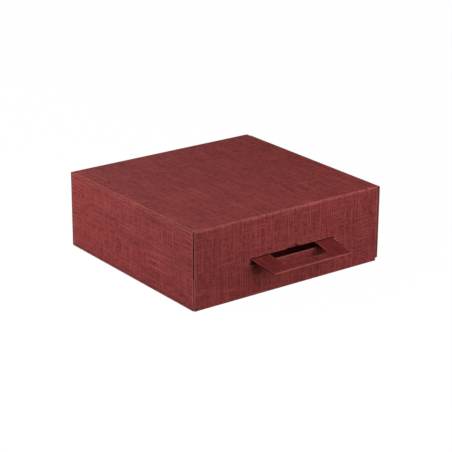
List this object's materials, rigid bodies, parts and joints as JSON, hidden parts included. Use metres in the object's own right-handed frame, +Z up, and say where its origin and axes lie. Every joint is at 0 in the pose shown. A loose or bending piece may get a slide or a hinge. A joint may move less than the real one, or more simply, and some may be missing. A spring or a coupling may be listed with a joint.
{
  "type": "sliding drawer gift box",
  "caption": "Low rectangular gift box: a drawer slides lengthways out of a folded sleeve, whose front flap closes over a fold-out carry handle.",
  "frame": {"origin": "centre of the sleeve's underside, on the surface that the box stands on", "axes": "+Z up, -Y out of the front flap with the carry handle, X along the drawer's travel"},
  "size_m": [0.3439, 0.3726, 0.1196],
  "materials": {
    "burgundy_linen": "matte",
    "burgundy_reverse": "matte"
  },
  "bodies": {
    "sleeve": {"sleeve_bottom_panel": "burgundy_linen", "sleeve_back_panel": "burgundy_linen", "sleeve_top_panel": "burgundy_linen", "sleeve_locking_panel": "burgundy_linen"},
    "front_flap": {"sleeve_front_flap": "burgundy_linen"},
    "handle": {"carry_handle": "burgundy_reverse"},
    "drawer": {"drawer_floor": "burgundy_reverse", "drawer_left_end_outer_wall": "burgundy_linen", "drawer_left_end_rolled_rim": "burgundy_linen", "drawer_left_end_inner_wall": "burgundy_linen", "drawer_right_end_outer_wall": "burgundy_linen", "drawer_right_end_rolled_rim": "burgundy_linen", "drawer_right_end_inner_wall": "burgundy_linen", "drawer_front_side_outer_wall": "burgundy_linen", "drawer_front_side_rolled_rim": "burgundy_linen", "drawer_front_side_inner_wall": "burgundy_linen", "drawer_back_side_outer_wall": "burgundy_linen", "drawer_back_side_rolled_rim": "burgundy_linen", "drawer_back_side_inner_wall": "burgundy_linen", "drawer_front_left_corner_tab": "burgundy_reverse", "drawer_back_left_corner_tab": "burgundy_reverse", "drawer_front_right_corner_tab": "burgundy_reverse", "drawer_back_right_corner_tab": "burgundy_reverse"}
  },
  "joints": [
    {"name": "drawer_slide", "type": "slide", "parent": "sleeve", "child": "drawer", "axis": [-1, 0, 0], "range_m": [-0.3, 0.3]},
    {"name": "front_flap_crease", "type": "hinge", "parent": "sleeve", "child": "front_flap", "pos_m": [0, -0.1616, 0.1189], "axis": [-1, 0, 0], "range_deg": [0, 90]},
    {"name": "handle_crease", "type": "hinge", "parent": "sleeve", "child": "handle", "pos_m": [0.0068, -0.15886, 0.05658], "axis": [-1, 0, 0], "range_deg": [0, 54]}
  ],
  "couplings": [
    {"joint": "handle_crease", "follows": "front_flap_crease", "ratio": 0.6}
  ]
}
